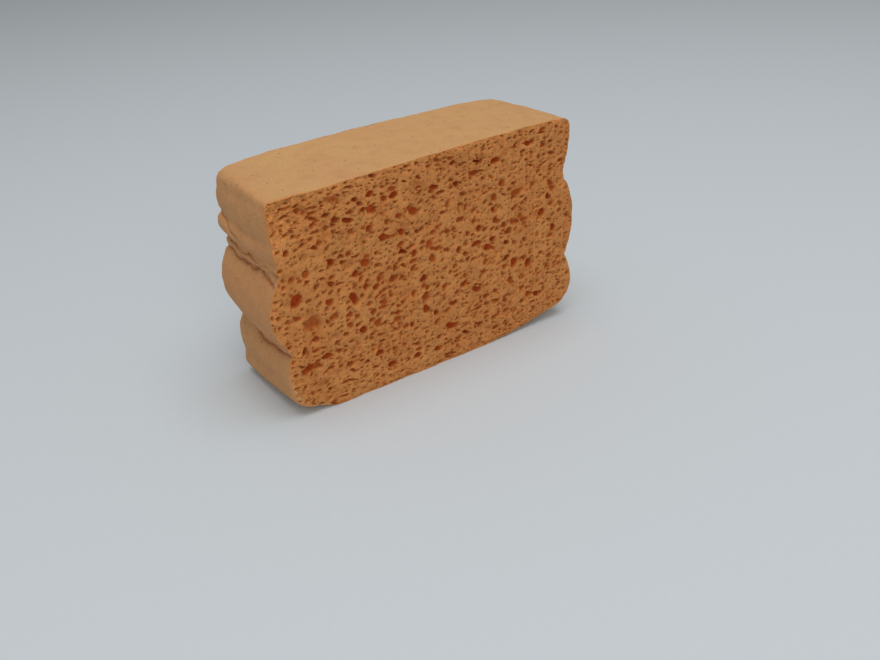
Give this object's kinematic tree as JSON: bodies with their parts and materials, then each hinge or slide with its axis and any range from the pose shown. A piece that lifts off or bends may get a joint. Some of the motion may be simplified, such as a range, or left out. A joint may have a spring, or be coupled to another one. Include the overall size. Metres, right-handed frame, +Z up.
{
  "type": "painters sponge",
  "caption": "Expanded cellulose sponge block with open porous cut faces, smooth skin over the top and foot, and lobed, creased ends.",
  "frame": {"origin": "on the ground under the middle of the block's bounding box", "axes": "+X along the block's length towards its right end, +Y from the front cut face to the back one, +Z up from the foot"},
  "size_m": [0.158, 0.055, 0.0983],
  "materials": {
    "foam": "matte open-pored foam"
  },
  "bodies": {
    "root": {"sponge": "foam"}
  },
  "joints": []
}
